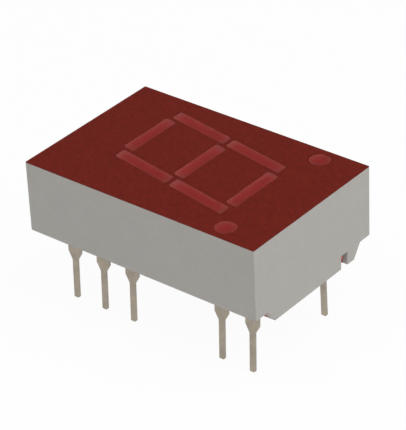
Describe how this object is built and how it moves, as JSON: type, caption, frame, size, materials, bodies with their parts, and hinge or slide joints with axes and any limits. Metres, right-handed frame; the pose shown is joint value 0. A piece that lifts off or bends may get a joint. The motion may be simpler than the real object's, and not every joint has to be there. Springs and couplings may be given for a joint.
{
  "type": "seven segment display",
  "caption": "Numeric light-emitting display: slanted bars and dots in a dark red face, a grey moulded body, a red resin back and rows of tinned pins for a circuit board.",
  "frame": {"origin": "middle of the flat back face, level with the tips of the end feet, halfway between the two rows of pins; the pin positions run 0.25 mm nearer to the digit's top than the body's middle", "axes": "+X is the digit's right, +Y is the digit's top, +Z comes out of the display face; the pins point to -Z"},
  "size_m": [0.0126, 0.019, 0.0113],
  "materials": {
    "housing_plastic": "light grey filled moulding plastic, fine satin surface",
    "face_coat": "dark brown-red ink coat, satin",
    "red_resin": "clear red casting resin with a fine diffusing powder, smooth",
    "tinned_strip": "dull tin plate on stamped copper alloy strip",
    "chip_crystal": "sawn crystal, amber",
    "bond_wire": "bright gold wire"
  },
  "bodies": {
    "root": {"housing": "housing_plastic", "face_coat": "face_coat", "resin_fill": "red_resin", "lead_a": "tinned_strip", "lead_f": "tinned_strip", "lead_dot": "tinned_strip", "lead_e": "tinned_strip", "lead_d": "tinned_strip", "lead_spare": "tinned_strip", "lead_c": "tinned_strip", "lead_g": "tinned_strip", "lead_b": "tinned_strip", "lead_common": "tinned_strip", "chip_a": "chip_crystal", "chip_b": "chip_crystal", "chip_c": "chip_crystal", "chip_d": "chip_crystal", "chip_e": "chip_crystal", "chip_f": "chip_crystal", "chip_g": "chip_crystal", "chip_dot": "chip_crystal", "wire_a": "bond_wire", "wire_b": "bond_wire", "wire_c": "bond_wire", "wire_d": "bond_wire", "wire_e": "bond_wire", "wire_f": "bond_wire", "wire_g": "bond_wire", "wire_dot": "bond_wire"}
  },
  "joints": []
}
